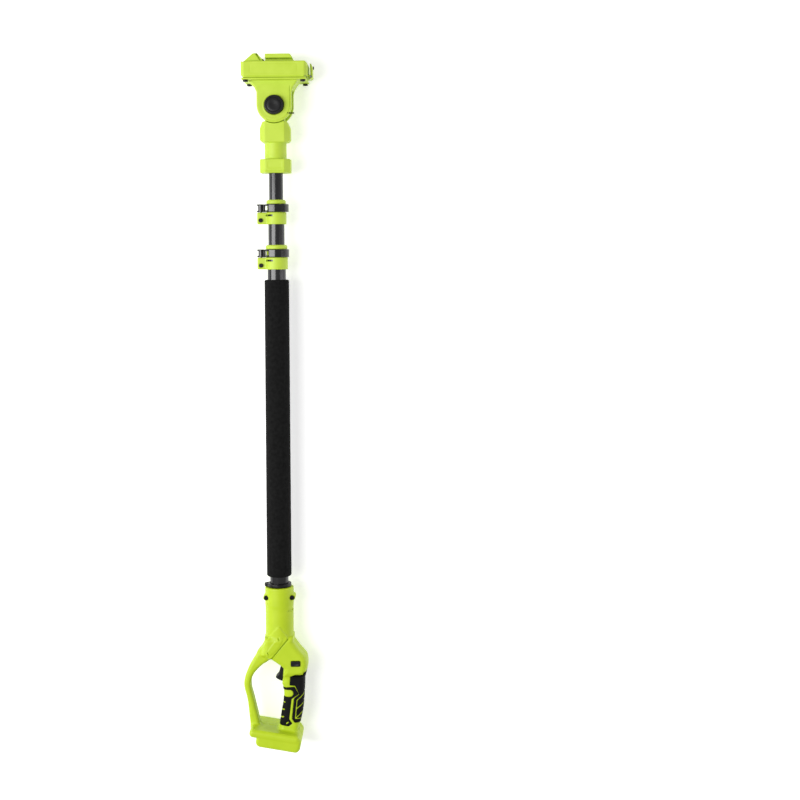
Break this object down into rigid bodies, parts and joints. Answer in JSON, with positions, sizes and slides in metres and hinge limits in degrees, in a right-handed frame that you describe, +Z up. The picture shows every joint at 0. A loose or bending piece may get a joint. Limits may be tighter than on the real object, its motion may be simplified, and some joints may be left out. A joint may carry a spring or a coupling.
{
  "type": "telescoping pole saw",
  "caption": "Telescoping extension pole for a small battery pruning saw: D-handle with trigger and battery foot, foam grip, clamped tubes and a tilting saw adapter head.",
  "frame": {"origin": "bottom centre of the bounding box, on the surface that the pole lies on", "axes": "+Y along the pole from the handle to the head, +Z up through the front face, +X to the palm side of the grip"},
  "size_m": [0.118, 1.0924, 0.075],
  "materials": {
    "lime_plastic": "satin moulded, fine grain",
    "black_plastic": "semi-gloss moulded",
    "black_rubber": "matte overmoulded",
    "foam": "matte closed-cell foam",
    "graphite_tube": "dark anodised, satin",
    "steel": "machined",
    "black_steel": "black oxide",
    "brass": "bright"
  },
  "bodies": {
    "handle": {"handle_shell_front": "lime_plastic", "handle_shell_back": "lime_plastic", "handle_screw_1": "black_steel", "handle_screw_2": "black_steel", "handle_screw_3": "black_steel", "handle_screw_4": "black_steel", "handle_screw_5": "black_steel", "neck_screw_left": "black_steel", "neck_screw_right": "black_steel", "palm_pad_front": "black_rubber", "finger_pad_front": "black_rubber", "palm_pad_back": "black_rubber", "finger_pad_back": "black_rubber", "switch_body": "black_plastic", "trigger_pin": "steel", "battery_terminal_block": "black_plastic", "battery_blade_1": "brass", "battery_blade_2": "brass", "battery_blade_3": "brass", "lower_tube": "graphite_tube", "foam_sleeve": "foam", "lower_collar": "lime_plastic", "lower_clamp_bolt": "black_steel", "lower_lever_pin": "steel"},
    "strap_ring": {"strap_ring": "black_plastic"},
    "trigger": {"trigger": "black_plastic"},
    "lock_button": {"lock_button": "black_plastic"},
    "lower_lever": {"lower_lever": "black_plastic"},
    "mid_stage": {"mid_tube": "graphite_tube", "mid_guide_bush": "black_plastic", "upper_collar": "lime_plastic", "upper_clamp_bolt": "black_steel", "upper_lever_pin": "steel"},
    "upper_lever": {"upper_lever": "black_plastic"},
    "upper_stage": {"upper_tube": "graphite_tube", "upper_guide_bush": "black_plastic", "coupler_front": "lime_plastic", "coupler_back": "lime_plastic", "coupler_screw_1": "black_steel", "coupler_screw_2": "black_steel", "coupler_screw_3": "black_steel", "coupler_screw_4": "black_steel"},
    "head": {"yoke": "lime_plastic", "stop_pin": "black_steel", "head_screw_1": "black_steel", "head_screw_2": "black_steel", "head_screw_3": "black_steel", "head_screw_4": "black_steel", "pivot_bolt": "steel", "pivot_nut": "steel", "head_case": "lime_plastic", "head_terminal_block": "black_plastic", "head_terminal_blade_1": "brass", "head_terminal_blade_2": "brass", "head_terminal_blade_3": "brass", "release_pin": "steel"},
    "tilt_button": {"tilt_button": "black_plastic"},
    "release_flap": {"release_flap": "lime_plastic", "release_stud": "black_plastic"},
    "latch": {"latch_hook": "black_plastic"}
  },
  "joints": [
    {"name": "strap_ring_turn", "type": "hinge", "parent": "handle", "child": "strap_ring", "pos_m": [-0.0026, -0.29017, 0.0375], "axis": [0, 1, 0], "continuous": true},
    {"name": "trigger_pull", "type": "hinge", "parent": "handle", "child": "trigger", "pos_m": [0.0054, -0.41242, 0.0375], "axis": [0, 0, 1], "range_deg": [0, 12], "stiffness_Nm_per_rad": 0.4, "springref_deg": -2.86},
    {"name": "lock_button_press", "type": "slide", "parent": "handle", "child": "lock_button", "axis": [0, 0, -1], "range_m": [0, 0.003], "stiffness_N_per_m": 200, "springref_m": -0.002},
    {"name": "lower_lever_open", "type": "hinge", "parent": "handle", "child": "lower_lever", "pos_m": [-0.0264, 0.23243, 0.0405], "axis": [0, -1, 0], "range_deg": [0, 120]},
    {"name": "mid_stage_slide", "type": "slide", "parent": "handle", "child": "mid_stage", "axis": [0, 1, 0], "range_m": [-0.032, 0.48]},
    {"name": "upper_lever_open", "type": "hinge", "parent": "mid_stage", "child": "upper_lever", "pos_m": [-0.0264, 0.30353, 0.0405], "axis": [0, -1, 0], "range_deg": [0, 120]},
    {"name": "upper_stage_slide", "type": "slide", "parent": "mid_stage", "child": "upper_stage", "axis": [0, 1, 0], "range_m": [-0.041, 0.505]},
    {"name": "head_tilt", "type": "hinge", "parent": "upper_stage", "child": "head", "pos_m": [-0.0026, 0.46458, 0.0375], "axis": [0, 0, 1], "range_deg": [-60, 60]},
    {"name": "tilt_button_press", "type": "slide", "parent": "head", "child": "tilt_button", "axis": [0, 0, -1], "range_m": [0, 0.004], "stiffness_N_per_m": 300, "springref_m": -0.002},
    {"name": "release_flap_press", "type": "hinge", "parent": "head", "child": "release_flap", "pos_m": [0.0548, 0.50938, 0.0375], "axis": [0, 0, 1], "range_deg": [0, 8], "stiffness_Nm_per_rad": 0.05, "springref_deg": -2.86},
    {"name": "latch_drop", "type": "slide", "parent": "head", "child": "latch", "axis": [0, -1, 0], "range_m": [0, 0.005]}
  ],
  "couplings": [
    {"joint": "latch_drop", "follows": "release_flap_press", "m_per_rad": 0.0358}
  ]
}
